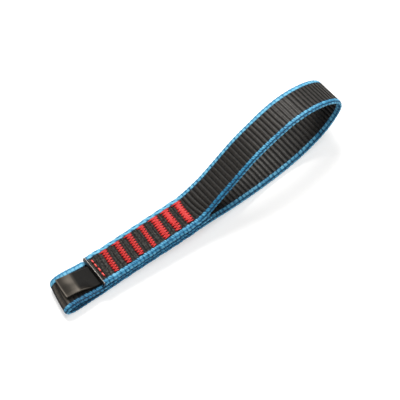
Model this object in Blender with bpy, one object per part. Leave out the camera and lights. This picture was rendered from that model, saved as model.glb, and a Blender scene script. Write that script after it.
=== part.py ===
"""Climbing sling: a strip of ribbed webbing folded into one large loop and
one snug eye, with its three layers held together by a row of straight
stitches and seven bar tacks, and a folded woven label caught under the
upper cut end.

Layout.  All construction is done in millimetres in the strap's own plane:
x runs along the stitched section towards the large loop, y across the
webbing (minus is the near edge) and z through the layers, with z = 0 on the
underside of the stitched section.  lay() then bends the large loop a little
sideways, gives its upper strand a slight twist, pitches the sling so that
the eye and the belly of the loop both rest on the floor, and returns metres
with the origin under the middle of the whole sling.
"""
import math

import bmesh
import bpy
import numpy as np
from mathutils import Vector

MM = 0.001

# ---------------------------------------------------------------- dimensions
WIDTH = 16.0            # webbing, edge to edge
THICK = 1.9             # one layer
GAP = 0.3               # between touching pieces
EDGE = 2.0              # width of each coloured selvedge
GROUND = WIDTH / 2 - EDGE - GAP / 2      # half width of the dark ground

Z_LOW = THICK / 2                        # middle of the lower layer
Z_MID = THICK * 1.5 + GAP                # middle of the middle layer
Z_TOP = THICK * 2.5 + 2 * GAP            # middle of the upper layer
STACK = THICK * 3 + 2 * GAP              # height of the stitched section

END_A = -9.1            # upper cut end, where the label comes out
END_A_SLANT = 1.1       # its foot reaches this much further out
END_B = 43.0            # inner cut end, in the fork of the large loop
LABEL_LIFT = 0.45       # the upper layer rises this much over the label

LOOP_START = 36.0       # the upper strand leaves the stitched section here
LOOP_END = 38.0         # the lower strand comes back to it here
# the large loop as it lies open: (x, z) of its middle line, out along the
# upper strand, round the tip and back along the lower strand
LOOP_SHAPE = [(48.0, 9.2), (58.0, 13.2), (70.0, 17.8), (82.0, 20.2),
              (93.0, 20.8), (104.8, 17.4), (110.8, 13.0), (113.6, 7.4),
              (108.8, 0.8), (99.5, -3.9), (87.0, -6.3), (73.0, -6.0),
              (58.0, -3.7), (47.0, -1.0)]
EYE_START = -17.0       # the snug eye begins here on the lower layer
EYE_END = -10.0         # and comes back in as the middle layer here
EYE_SHAPE = [(-22.5, 1.0), (-26.4, 1.9), (-27.6, 3.2), (-26.4, 4.5),
             (-23.2, 5.05), (-19.5, 4.75), (-15.0, 3.75), (-12.0, 3.25)]
EYE_SKEW = 1.8          # the far side of the eye is this much shorter

SWING = 0.118           # the large loop points this far to the far side, rad
SWING_FROM, SWING_OVER = 33.0, 12.0
TWIST = -0.157          # twist of the upper strand, rad
TWIST_FROM, TWIST_OVER = 37.0, 15.0

ROW_X = -6.9            # row of straight stitches near the upper cut end
ROW_HOLES = (5.4, 2.55, -0.3, -2.85, -5.4)
BAR_X = (-1.05, 5.25, 11.2, 17.55, 23.9, 29.6, 35.85)     # bar tacks
BAR_WIDE = (2.8, 2.7, 2.7, 2.4, 3.3, 3.3, 3.2)
BAR_Y0, BAR_Y1 = -5.2, 4.8
BAR_TEETH = 9           # zigzags in the outline of a bar tack
THREAD = 0.45
LEG = 0.5               # side of a thread's leg through the layers

LABEL_HINGE = -11.2     # the label flap turns about this line
LABEL_FOLD = -24.4      # its folded free end
LABEL_WIDE = 11.0
LABEL_PLY = 0.3
LABEL_TAIL_END = -4.6   # the sewn-in ends stop here, between the layers


# ------------------------------------------------------------------ geometry
def ease(u):
    u = min(max(u, 0.0), 1.0)
    return u * u * (3.0 - 2.0 * u)


def swing_offset(x):
    """Sideways offset and heading of the middle line at x."""
    u = (x - SWING_FROM) / SWING_OVER
    if u <= 0.0:
        return 0.0, 0.0
    if u >= 1.0:
        return SWING * (SWING_OVER * 0.5 + x - SWING_FROM - SWING_OVER), SWING
    return SWING * SWING_OVER * (u ** 3 - u ** 4 / 2.0), SWING * ease(u)


def bend(x, y, z, twist=0.0):
    """Strap-plane point to the resting shape, before the sling is set down."""
    side, head = swing_offset(x)
    turn = twist * ease((x - TWIST_FROM) / TWIST_OVER)
    v = y + WIDTH / 2
    skew = EYE_SKEW * (v / WIDTH) ** 2 * ease((-18.0 - x) / 9.0)
    return (x + WIDTH / 2 * math.sin(head) - v * math.sin(head) + skew,
            side - WIDTH / 2 * math.cos(head)
            + v * math.cos(head) * math.cos(turn),
            z + v * math.sin(turn))


def spline(points, start_dir, end_dir, step):
    """Smooth curve through the points with given end directions."""
    p = np.array(points, dtype=float)
    t = np.concatenate([[0.0], np.cumsum(np.linalg.norm(np.diff(p, axis=0),
                                                        axis=1))])
    n = len(p)
    h = np.diff(t)
    a = np.zeros((n, n))
    b = np.zeros((n, 2))
    a[0, 0] = a[-1, -1] = 1.0
    b[0], b[-1] = start_dir, end_dir
    for i in range(1, n - 1):
        a[i, i - 1] = h[i]
        a[i, i] = 2.0 * (h[i - 1] + h[i])
        a[i, i + 1] = h[i - 1]
        b[i] = 3.0 * (h[i] * (p[i] - p[i - 1]) / h[i - 1]
                      + h[i - 1] * (p[i + 1] - p[i]) / h[i])
    m = np.linalg.solve(a, b)
    out = []
    count = int(math.ceil(t[-1] / step))
    for k in range(count + 1):
        s = t[-1] * k / count
        i = min(int(np.searchsorted(t, s, side='right')) - 1, n - 2)
        u = (s - t[i]) / h[i]
        out.append((2 * u ** 3 - 3 * u ** 2 + 1) * p[i]
                   + (u ** 3 - 2 * u ** 2 + u) * h[i] * m[i]
                   + (3 * u ** 2 - 2 * u ** 3) * p[i + 1]
                   + (u ** 3 - u ** 2) * h[i] * m[i + 1])
    return out


def strap_path():
    """Stations (x, z, twist) of the strap's middle line, end A to end B."""
    pts = []
    for x in [END_A, -7.5, -6.0, -4.5, -3.5, -2.5, -1.5, 8.0, 20.0, 33.0,
              34.5]:
        lift = LABEL_LIFT * (1.0 - ease((x + 5.0) / 3.5))
        pts.append((x, Z_TOP + lift, 0.0))
    loop = spline([(LOOP_START, Z_TOP)] + LOOP_SHAPE + [(LOOP_END, Z_LOW)],
                  (1.0, 0.0), (-1.0, 0.0), 2.6)
    run = np.concatenate([[0.0], np.cumsum(np.linalg.norm(
        np.diff(np.array(loop), axis=0), axis=1))])
    tip = run[int(np.argmax([q[0] for q in loop]))]
    for q, s in zip(loop, run):
        pts.append((q[0], q[1], TWIST * (1.0 - ease((s - tip + 15.0) / 50.0))))
    for x in [36.0, 34.5, 33.0, 20.0, 8.0, -4.0]:
        pts.append((x, Z_LOW, 0.0))
    for q in spline([(EYE_START, Z_LOW)] + EYE_SHAPE + [(EYE_END, Z_MID)],
                    (-1.0, 0.0), (1.0, 0.0), 1.5):
        pts.append((q[0], q[1], 0.0))
    for x in [8.0, 20.0, 33.0, 34.5, 36.0, 38.0, 40.0, END_B]:
        pts.append((x, Z_MID, 0.0))
    return pts


def frames(pts):
    """Unit normal of the middle line at each station (left of travel)."""
    out = []
    for i in range(len(pts)):
        a = pts[max(i - 1, 0)]
        b = pts[min(i + 1, len(pts) - 1)]
        dx, dz = b[0] - a[0], b[1] - a[1]
        n = math.hypot(dx, dz)
        out.append((-dz / n, dx / n))
    return out


PATH = strap_path()
NORMAL = frames(PATH)


def resting_pose():
    """Pitch that sets the eye and the loop's belly down, and the offset
    that puts the origin under the middle of the sling."""
    cloud = []
    for (x, z, tw), (nx, nz) in zip(PATH, NORMAL):
        for y in (-WIDTH / 2, WIDTH / 2):
            for o in (-THICK / 2, THICK / 2):
                cloud.append(bend(x + o * nx, y, z + o * nz, tw))
    cloud = np.array(cloud)
    left = cloud[cloud[:, 0] < 0.0]
    right = cloud[cloud[:, 0] > 50.0]
    lo, hi = 0.0, 0.2
    for _ in range(50):
        mid = (lo + hi) / 2
        low_l = (left[:, 0] * math.sin(mid) + left[:, 2] * math.cos(mid)).min()
        low_r = (right[:, 0] * math.sin(mid)
                 + right[:, 2] * math.cos(mid)).min()
        if low_r < low_l:
            lo = mid
        else:
            hi = mid
    x = cloud[:, 0] * math.cos(mid) - cloud[:, 2] * math.sin(mid)
    z = cloud[:, 0] * math.sin(mid) + cloud[:, 2] * math.cos(mid)
    y = cloud[:, 1]
    return mid, ((x.min() + x.max()) / 2, (y.min() + y.max()) / 2, z.min())


PITCH, SHIFT = resting_pose()


def lay(x, y, z, twist=0.0):
    """Strap-plane millimetres to world metres."""
    x, y, z = bend(x, y, z, twist)
    c, s = math.cos(PITCH), math.sin(PITCH)
    return Vector(((x * c - z * s - SHIFT[0]) * MM, (y - SHIFT[1]) * MM,
                   (x * s + z * c - SHIFT[2]) * MM))


# ------------------------------------------------------------------- helpers
def clear_scene():
    for ob in list(bpy.data.objects):
        bpy.data.objects.remove(ob, do_unlink=True)


def material(name, colour, roughness, metallic=0.0):
    mat = bpy.data.materials.new(name)
    mat.use_nodes = True
    bsdf = mat.node_tree.nodes['Principled BSDF']
    bsdf.inputs['Base Color'].default_value = (*colour, 1.0)
    bsdf.inputs['Roughness'].default_value = roughness
    bsdf.inputs['Metallic'].default_value = metallic
    return mat


def to_object(name, bm, mat, origin=None):
    bmesh.ops.recalc_face_normals(bm, faces=bm.faces)
    if origin is not None:
        bmesh.ops.translate(bm, verts=bm.verts, vec=-origin)
    mesh = bpy.data.meshes.new(name)
    bm.to_mesh(mesh)
    bm.free()
    ob = bpy.data.objects.new(name, mesh)
    bpy.context.scene.collection.objects.link(ob)
    if origin is not None:
        ob.location = origin
    if mat is not None:
        mesh.materials.append(mat)
        mesh.shade_smooth()
        mesh.set_sharp_from_angle(angle=math.radians(40))
    return ob


def sweep(bm, stations, normals, section, across=None, start_slant=0.0):
    """Carry a closed (y, offset) section along the stations.

    across(x, y) may move a section point sideways; start_slant pushes the
    underside of the first section outwards."""
    rings = []
    for i, ((x, z, tw), (nx, nz)) in enumerate(zip(stations, normals)):
        ring = []
        for y, o in section:
            px, pz = x + o * nx, z + o * nz
            if i == 0 and start_slant:
                px -= start_slant * (0.5 - o / THICK)
            py = across(px, y) if across else y
            ring.append(bm.verts.new(lay(px, py, pz, tw)))
        rings.append(ring)
    count = len(section)
    for a, b in zip(rings, rings[1:]):
        for k in range(count):
            j = (k + 1) % count
            bm.faces.new((a[k], a[j], b[j], b[k]))
    bm.faces.new(rings[0])
    bm.faces.new(rings[-1])


def box(bm, x0, x1, y0, y1, z0, z1):
    """Box in the strap plane, bent with the strap."""
    v = [bm.verts.new(lay(x, y, z)) for z in (z0, z1) for y in (y0, y1)
         for x in (x0, x1)]
    for f in ((0, 1, 3, 2), (4, 6, 7, 5), (0, 4, 5, 1), (2, 3, 7, 6),
              (0, 2, 6, 4), (1, 5, 7, 3)):
        bm.faces.new([v[k] for k in f])


def plate(bm, outline, z0, z1):
    """Closed prism over an (x, y) outline."""
    low = [bm.verts.new(lay(x, y, z0)) for x, y in outline]
    high = [bm.verts.new(lay(x, y, z1)) for x, y in outline]
    n = len(outline)
    for k in range(n):
        j = (k + 1) % n
        bm.faces.new((low[k], low[j], high[j], high[k]))
    # the outline is a ladder of left and right points: cap it rung by rung
    half = n // 2
    for ring in (low, high):
        for k in range(half - 1):
            bm.faces.new((ring[k], ring[k + 1], ring[n - 2 - k],
                          ring[n - 1 - k]))


def guide(name, bm):
    ob = to_object(name, bm, None)
    ob.hide_render = True
    ob.display_type = 'WIRE'
    return ob


def boolean(ob, other, operation):
    mod = ob.modifiers.new(other.name, 'BOOLEAN')
    mod.object = other
    mod.operation = operation
    mod.solver = 'EXACT'


# -------------------------------------------------------------------- pieces
def make_webbing(ground_mat, edge_mat, needle_holes):
    half = THICK / 2
    bm = bmesh.new()
    sweep(bm, PATH, NORMAL,
          [(-GROUND, -half), (GROUND, -half), (GROUND, half), (-GROUND, half)],
          start_slant=END_A_SLANT)
    body = to_object('webbing_ground', bm, ground_mat)
    boolean(body, needle_holes, 'DIFFERENCE')

    inner, outer = WIDTH / 2 - EDGE + GAP / 2, WIDTH / 2
    for name, side in (('selvedge_near', -1.0), ('selvedge_far', 1.0)):
        bm = bmesh.new()
        sweep(bm, PATH, NORMAL,
              [(side * inner, -half), (side * (outer - 0.55), -half),
               (side * outer, -0.5 * half), (side * outer, 0.5 * half),
               (side * (outer - 0.55), half), (side * inner, half)],
              start_slant=END_A_SLANT)
        to_object(name, bm, edge_mat)


def leg_places(k):
    """The four places where bar tack k goes through the layers."""
    dx = BAR_WIDE[k] / 2 - 0.45
    return [(BAR_X[k] + sx * dx, y) for sx in (-1.0, 1.0)
            for y in (BAR_Y0 + 0.6, BAR_Y1 - 0.6)]


def make_needle_holes():
    """Guide for the holes that the threads pass through."""
    reach = LEG / 2 + GAP
    bm = bmesh.new()
    for k in range(len(BAR_X)):
        for x, y in leg_places(k):
            box(bm, x - reach, x + reach, y - reach, y + reach,
                -1.0, STACK + 1.5)
    for y in ROW_HOLES:
        box(bm, ROW_X - reach, ROW_X + reach, y - reach, y + reach,
            -1.0, STACK + 1.5)
    return guide('guide_needle_holes', bm)


def bar_outline(k, grow=0.0):
    """Zigzag outline of bar tack k, left side up and right side down."""
    left, right = [], []
    steps = 2 * BAR_TEETH
    for i in range(steps + 1):
        y = BAR_Y0 + (BAR_Y1 - BAR_Y0) * i / steps
        notch = 0.28 if i % 2 else 0.0
        left.append((BAR_X[k] - BAR_WIDE[k] / 2 + notch, y))
        right.append((BAR_X[k] + BAR_WIDE[k] / 2 - notch, y))
    return left + right[::-1]


def make_bar_tack(k, mat):
    """Needle thread on top with its legs through the layers, and the bobbin
    thread on the underside, which meet inside the lower layer."""
    top = STACK + GAP
    bm = bmesh.new()
    plate(bm, bar_outline(k), top, top + THREAD)
    needle = to_object('bar_tack_%d_needle_thread' % (k + 1), bm, mat)
    bm = bmesh.new()
    for x, y in leg_places(k):
        box(bm, x - LEG / 2, x + LEG / 2, y - LEG / 2, y + LEG / 2,
            0.9, top + THREAD * 0.6)
    boolean(needle, guide('guide_needle_legs_%d' % (k + 1), bm), 'UNION')

    bm = bmesh.new()
    plate(bm, bar_outline(k), -GAP - THREAD, -GAP)
    bobbin = to_object('bar_tack_%d_bobbin_thread' % (k + 1), bm, mat)
    bm = bmesh.new()
    for x, y in leg_places(k):
        box(bm, x - LEG / 2, x + LEG / 2, y - LEG / 2, y + LEG / 2,
            -GAP - THREAD * 0.6, 0.55)
    boolean(bobbin, guide('guide_bobbin_legs_%d' % (k + 1), bm), 'UNION')


def stitch_run(z_flat, rise):
    """Side outline (y, z) of a run of stitches that dips at each hole:
    the crown first, then the flat side back."""
    crown = []
    for i, y in enumerate(ROW_HOLES):
        if i > 0:
            crown.append((y + 0.75, z_flat + rise))
        crown.append((y + LEG / 2, z_flat + rise * 0.5))
        crown.append((y - LEG / 2, z_flat + rise * 0.5))
        if i < len(ROW_HOLES) - 1:
            crown.append((y - 0.75, z_flat + rise))
    return crown + [(y, z_flat) for y, z in reversed(crown)]


def make_end_row(mat):
    """Four straight stitches across the webbing by the upper cut end."""
    over = STACK + LABEL_LIFT + GAP
    for name, flat, rise, leg in (
            ('end_row_needle_thread', over, THREAD, 0.9),
            ('end_row_bobbin_thread', -GAP, -THREAD, 0.55)):
        outline = stitch_run(flat, rise)
        bm = bmesh.new()
        a, b = [[bm.verts.new(lay(ROW_X + dx, y, z)) for y, z in outline]
                for dx in (-LEG / 2, LEG / 2)]
        n = len(outline)
        for k in range(n):
            j = (k + 1) % n
            bm.faces.new((a[k], a[j], b[j], b[k]))
        for side in (a, b):
            for k in range(n // 2 - 1):
                bm.faces.new((side[k], side[k + 1], side[n - 2 - k],
                              side[n - 1 - k]))
        run = to_object(name, bm, mat)
        bm = bmesh.new()
        for y in ROW_HOLES:
            box(bm, ROW_X - LEG / 2, ROW_X + LEG / 2, y - LEG / 2,
                y + LEG / 2, min(leg, flat + rise * 0.3),
                max(leg, flat + rise * 0.3))
        boolean(run, guide('guide_' + name, bm), 'UNION')


def label_side(x, y):
    """The label leans to the far side towards its fold."""
    t = min(max((LABEL_HINGE - x) / (LABEL_HINGE - LABEL_FOLD), 0.0), 1.0)
    return y * (1.0 - 0.06 * t) - 0.3 + 2.05 * t


def make_label(mat, needle_holes):
    """Woven ribbon folded in half: its fold is the free end of the flap and
    both cut ends are sewn in under the upper layer."""
    step = LABEL_PLY + GAP
    base = 4.55
    rise = [(LABEL_HINGE - 0.15, base), (-13.5, 4.85), (-16.0, 5.55),
            (-19.0, 6.2), (-21.5, 6.5)]
    lower = spline(rise + [(LABEL_FOLD + 0.4, 6.5)], (-1.0, 0.05),
                   (-1.0, 0.0), 1.6)
    pts = [(x, z, 0.0) for x, z in lower]
    pts.append((LABEL_FOLD + 0.1, 6.5 + step * 0.2, 0.0))
    pts.append((LABEL_FOLD + 0.1, 6.5 + step * 0.8, 0.0))
    pts += [(x, z + step, 0.0) for x, z in reversed(lower)]
    half = LABEL_WIDE / 2
    ply = LABEL_PLY / 2
    bm = bmesh.new()
    sweep(bm, pts, frames(pts),
          [(-half, -ply), (half, -ply), (half, ply), (-half, ply)],
          across=label_side)
    hinge = lay(LABEL_HINGE, 0.0, base)
    to_object('label_flap', bm, mat, origin=hinge)

    z = THICK * 2 + GAP + (GAP + LABEL_LIFT) / 2
    pts = [(LABEL_HINGE + 0.15, base, 0.0), (-10.4, z, 0.0),
           (-8.0, z, 0.0), (LABEL_TAIL_END, z, 0.0)]
    bm = bmesh.new()
    ply = 0.12
    sweep(bm, pts, frames(pts),
          [(-half, -ply), (half, -ply), (half, ply), (-half, ply)],
          across=label_side)
    tail = to_object('label_tail', bm, mat)
    boolean(tail, needle_holes, 'DIFFERENCE')


def main():
    clear_scene()
    ground = material('black_nylon', (0.030, 0.029, 0.028), 0.75)
    edge = material('blue_nylon', (0.035, 0.27, 0.60), 0.6)
    thread = material('red_thread', (0.62, 0.03, 0.035), 0.5)
    satin = material('label_satin', (0.045, 0.040, 0.038), 0.35)
    holes = make_needle_holes()
    make_webbing(ground, edge, holes)
    for k in range(len(BAR_X)):
        make_bar_tack(k, thread)
    make_end_row(thread)
    make_label(satin, holes)


main()
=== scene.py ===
import math

import bpy
import numpy as np
from mathutils import Matrix, Vector


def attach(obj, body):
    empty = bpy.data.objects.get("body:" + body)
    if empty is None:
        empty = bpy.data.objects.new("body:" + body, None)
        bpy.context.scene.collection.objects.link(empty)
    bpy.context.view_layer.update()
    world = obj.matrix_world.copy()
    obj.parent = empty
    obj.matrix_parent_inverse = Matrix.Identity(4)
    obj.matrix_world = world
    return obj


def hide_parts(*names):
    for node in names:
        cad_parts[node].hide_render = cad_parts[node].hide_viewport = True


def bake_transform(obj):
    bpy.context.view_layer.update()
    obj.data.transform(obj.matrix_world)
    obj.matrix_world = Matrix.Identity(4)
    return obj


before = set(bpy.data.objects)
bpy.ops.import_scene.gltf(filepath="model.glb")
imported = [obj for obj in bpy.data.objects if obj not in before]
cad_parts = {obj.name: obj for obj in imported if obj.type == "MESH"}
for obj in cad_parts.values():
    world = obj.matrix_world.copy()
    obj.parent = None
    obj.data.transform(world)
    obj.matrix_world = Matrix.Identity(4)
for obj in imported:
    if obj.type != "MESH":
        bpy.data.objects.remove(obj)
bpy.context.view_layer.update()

# ------------------------------------------------------------ dimensions, mm
# the same construction as the model: a strap plane with x along the stitched
# section, y across the webbing and z through the layers, then bent and laid
WIDTH, THICK, GAP = 16.0, 1.9, 0.3
HALF = THICK / 2
Z_LOW, Z_MID, Z_TOP = THICK / 2, THICK * 1.5 + GAP, THICK * 2.5 + 2 * GAP
STACK = THICK * 3 + 2 * GAP
END_A, END_A_SLANT, END_B = -9.1, 1.1, 43.0
LABEL_LIFT = 0.45
LOOP_START, LOOP_END = 36.0, 38.0
LOOP_SHAPE = [(48.0, 9.2), (58.0, 13.2), (70.0, 17.8), (82.0, 20.2),
              (93.0, 20.8), (104.8, 17.4), (110.8, 13.0), (113.6, 7.4),
              (108.8, 0.8), (99.5, -3.9), (87.0, -6.3), (73.0, -6.0),
              (58.0, -3.7), (47.0, -1.0)]
EYE_START, EYE_END = -17.0, -10.0
EYE_SHAPE = [(-22.5, 1.0), (-26.4, 1.9), (-27.6, 3.2), (-26.4, 4.5),
             (-23.2, 5.05), (-19.5, 4.75), (-15.0, 3.75), (-12.0, 3.25)]
EYE_SKEW = 1.3
SWING, SWING_FROM, SWING_OVER = 0.118, 33.0, 12.0
TWIST, TWIST_FROM, TWIST_OVER = -0.157, 37.0, 15.0
ROW_X = -6.9
BAR_X = (-1.05, 5.25, 11.2, 17.55, 23.9, 29.6, 35.85)
BAR_WIDE = (2.8, 2.7, 2.7, 2.4, 3.3, 3.3, 3.2)
LABEL_HINGE, LABEL_FOLD, LABEL_WIDE = -11.2, -24.4, 10.2
LABEL_TAIL_END = -4.6


# ------------------------------------------------------------------ geometry
def ease(u):
    u = np.clip(u, 0.0, 1.0)
    return u * u * (3.0 - 2.0 * u)


def bend(x, y, z, twist):
    u = np.clip((x - SWING_FROM) / SWING_OVER, 0.0, 1.0)
    past = np.maximum(x - SWING_FROM - SWING_OVER, 0.0)
    side = SWING * SWING_OVER * (u ** 3 - u ** 4 / 2.0) + SWING * past
    head = SWING * ease(u)
    turn = twist * ease((x - TWIST_FROM) / TWIST_OVER)
    v = y + WIDTH / 2
    skew = EYE_SKEW * (v / WIDTH) ** 2 * ease((-18.0 - x) / 9.0)
    return (x + WIDTH / 2 * np.sin(head) - v * np.sin(head) + skew,
            side - WIDTH / 2 * np.cos(head) + v * np.cos(head) * np.cos(turn),
            z + v * np.sin(turn))


def spline(points, start_dir, end_dir, step):
    """Smooth curve through the points with given end directions."""
    p = np.array(points, dtype=float)
    t = np.concatenate([[0.0], np.cumsum(np.linalg.norm(np.diff(p, axis=0),
                                                        axis=1))])
    n = len(p)
    h = np.diff(t)
    a = np.zeros((n, n))
    b = np.zeros((n, p.shape[1]))
    a[0, 0] = a[-1, -1] = 1.0
    b[0], b[-1] = start_dir, end_dir
    for i in range(1, n - 1):
        a[i, i - 1] = h[i]
        a[i, i] = 2.0 * (h[i - 1] + h[i])
        a[i, i + 1] = h[i - 1]
        b[i] = 3.0 * (h[i] * (p[i] - p[i - 1]) / h[i - 1]
                      + h[i - 1] * (p[i + 1] - p[i]) / h[i])
    m = np.linalg.solve(a, b)
    count = int(math.ceil(t[-1] / step))
    s = t[-1] * np.arange(count + 1) / count
    i = np.minimum(np.searchsorted(t, s, side='right') - 1, n - 2)
    u = ((s - t[i]) / h[i])[:, None]
    hi = h[i][:, None]
    return ((2 * u ** 3 - 3 * u ** 2 + 1) * p[i]
            + (u ** 3 - 2 * u ** 2 + u) * hi * m[i]
            + (3 * u ** 2 - 2 * u ** 3) * p[i + 1]
            + (u ** 3 - u ** 2) * hi * m[i + 1])


def strap_path(coarse):
    """Stations (x, z, twist) of the strap's middle line, end A to end B.

    The coarse one has the model's own stations, which set how it lies."""
    if coarse:
        xs = np.array([END_A, -7.5, -6.0, -4.5, -3.5, -2.5, -1.5, 8.0, 20.0,
                       33.0, 34.5])
        low = np.array([36.0, 34.5, 33.0, 20.0, 8.0, -4.0])
        mid = np.array([8.0, 20.0, 33.0, 34.5, 36.0, 38.0, 40.0, END_B])
    else:
        xs = np.arange(END_A, LOOP_START - 0.05, 0.1)
        low = np.arange(LOOP_END - 0.1, EYE_START + 0.05, -0.1)
        mid = np.arange(EYE_END + 0.1, END_B + 0.001, 0.1)
    lift = LABEL_LIFT * (1.0 - ease((xs + 5.0) / 3.5))
    loop = spline([(LOOP_START, Z_TOP)] + LOOP_SHAPE + [(LOOP_END, Z_LOW)],
                  (1.0, 0.0), (-1.0, 0.0), 2.6 if coarse else 0.1)
    run = np.concatenate([[0.0], np.cumsum(np.linalg.norm(
        np.diff(loop, axis=0), axis=1))])
    tip = run[int(np.argmax(loop[:, 0]))]
    turn = TWIST * (1.0 - ease((run - tip + 15.0) / 50.0))
    eye = spline([(EYE_START, Z_LOW)] + EYE_SHAPE + [(EYE_END, Z_MID)],
                 (-1.0, 0.0), (1.0, 0.0), 1.5 if coarse else 0.1)
    flat = np.zeros
    return np.concatenate([
        np.stack([xs, Z_TOP + lift, flat(len(xs))], 1),
        np.stack([loop[:, 0], loop[:, 1], turn], 1),
        np.stack([low, flat(len(low)) + Z_LOW, flat(len(low))], 1),
        np.stack([eye[:, 0], eye[:, 1], flat(len(eye))], 1),
        np.stack([mid, flat(len(mid)) + Z_MID, flat(len(mid))], 1)])


def normals(pts):
    a = pts[np.maximum(np.arange(len(pts)) - 1, 0)]
    b = pts[np.minimum(np.arange(len(pts)) + 1, len(pts) - 1)]
    d = (b - a)[:, :2]
    n = np.hypot(d[:, 0], d[:, 1])
    return np.stack([-d[:, 1] / n, d[:, 0] / n], 1)


def resting_pose():
    pts = strap_path(True)
    nrm = normals(pts)
    cloud = []
    for y in (-WIDTH / 2, WIDTH / 2):
        for o in (-HALF, HALF):
            cloud.append(np.stack(bend(pts[:, 0] + o * nrm[:, 0],
                                       y + 0.0 * pts[:, 0],
                                       pts[:, 1] + o * nrm[:, 1],
                                       pts[:, 2]), 1))
    cloud = np.concatenate(cloud)
    left, right = cloud[cloud[:, 0] < 0.0], cloud[cloud[:, 0] > 50.0]
    lo, hi = 0.0, 0.2
    for _ in range(50):
        mid = (lo + hi) / 2
        low_l, low_r = [(p[:, 0] * math.sin(mid) + p[:, 2] * math.cos(mid))
                        .min() for p in (left, right)]
        if low_r < low_l:
            lo = mid
        else:
            hi = mid
    x = cloud[:, 0] * math.cos(mid) - cloud[:, 2] * math.sin(mid)
    z = cloud[:, 0] * math.sin(mid) + cloud[:, 2] * math.cos(mid)
    return mid, ((x.min() + x.max()) / 2,
                 (cloud[:, 1].min() + cloud[:, 1].max()) / 2, z.min())


PITCH, SHIFT = resting_pose()


def lay(x, y, z, twist=0.0):
    """Strap-plane millimetres to metres in the model's frame."""
    x, y, z, twist = np.broadcast_arrays(x, y, z, twist)
    x, y, z = bend(x, y, z, twist)
    c, s = math.cos(PITCH), math.sin(PITCH)
    return np.stack([(x * c - z * s - SHIFT[0]), (y - SHIFT[1]),
                     (x * s + z * c - SHIFT[2])], -1) * 0.001


# the strap's middle line by arc length
RIB_SEWN = 1.93         # pitch of the ribs in the stitched section
_fine = strap_path(False)
_run = np.concatenate([[0.0], np.cumsum(np.hypot(*np.diff(_fine[:, :2],
                                                          axis=0).T))])
LENGTH = _run[-1]
S_FORK = LOOP_START - END_A                       # upper layer leaves here
S_TIP = _run[int(np.argmax(_fine[:, 0]))]
S_LOW = _run[np.argmax((_run > S_TIP) & (_fine[:, 0] < LOOP_END))]
S_EYE = _run[int(np.argmin(_fine[:, 0]))]


def line_at(s):
    """x, z, twist and the unit normal of the middle line at arc length s."""
    s = np.asarray(s, float)
    x, z, t = [np.interp(s, _run, _fine[:, k]) for k in range(3)]
    e = 0.25
    dx = (np.interp(s + e, _run, _fine[:, 0])
          - np.interp(s - e, _run, _fine[:, 0]))
    dz = (np.interp(s + e, _run, _fine[:, 1])
          - np.interp(s - e, _run, _fine[:, 1]))
    n = np.hypot(dx, dz)
    return x, z, t, -dz / n, dx / n


def rib_phase(s):
    """Count of ribs from end A; whole numbers are crests. The pitch is wider
    where the upper strand leaves the stitches and closer round the tip."""
    places = (0.0, 48.35, 60.0, 77.55, 101.9, 114.2, 126.2, 148.2, 195.4,
              206.0, LENGTH)
    steps = (0.0, 25.1, 5.0, 8.0, 12.0, 6.0, 7.0, 12.0, 23.0, 5.5,
             (LENGTH - 206.0) / RIB_SEWN)
    g = np.arange(-6.0, LENGTH + 6.0, 0.25)
    count = np.interp(g, places, np.cumsum(steps))
    count += np.where(g < 0, g / RIB_SEWN, 0.0)
    count += np.where(g > LENGTH, (g - LENGTH) / RIB_SEWN, 0.0)
    soft = np.ones(17) / 17.0
    smooth = np.convolve(np.pad(count, 8, mode='edge'), soft, mode='valid')
    return np.interp(s, g[8:-8], smooth[8:-8]) + 20.9


def sewn_press(x, y):
    """How far the bar tacks press the stack together at (x, y), 0 to 1."""
    c = np.zeros(np.broadcast(x, y).shape)
    for bx, wide in zip(BAR_X, BAR_WIDE):
        c = np.maximum(c, np.exp(-(np.abs(x - bx) / (0.60 * wide)) ** 4))
    return c * ease((6.6 - np.abs(y)) / 1.4)


def pinch(x, y, z):
    """Move z towards the middle of the stack under the bar tacks."""
    inside = ease((x + 4.5) / 2.5) * (1.0 - ease((x - 37.2) / 1.5))
    inside = inside * (z < STACK + 1.5) * (z > -1.5)
    c = sewn_press(x, y) * inside
    return z + (STACK / 2 - z) * 0.075 * c


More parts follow.
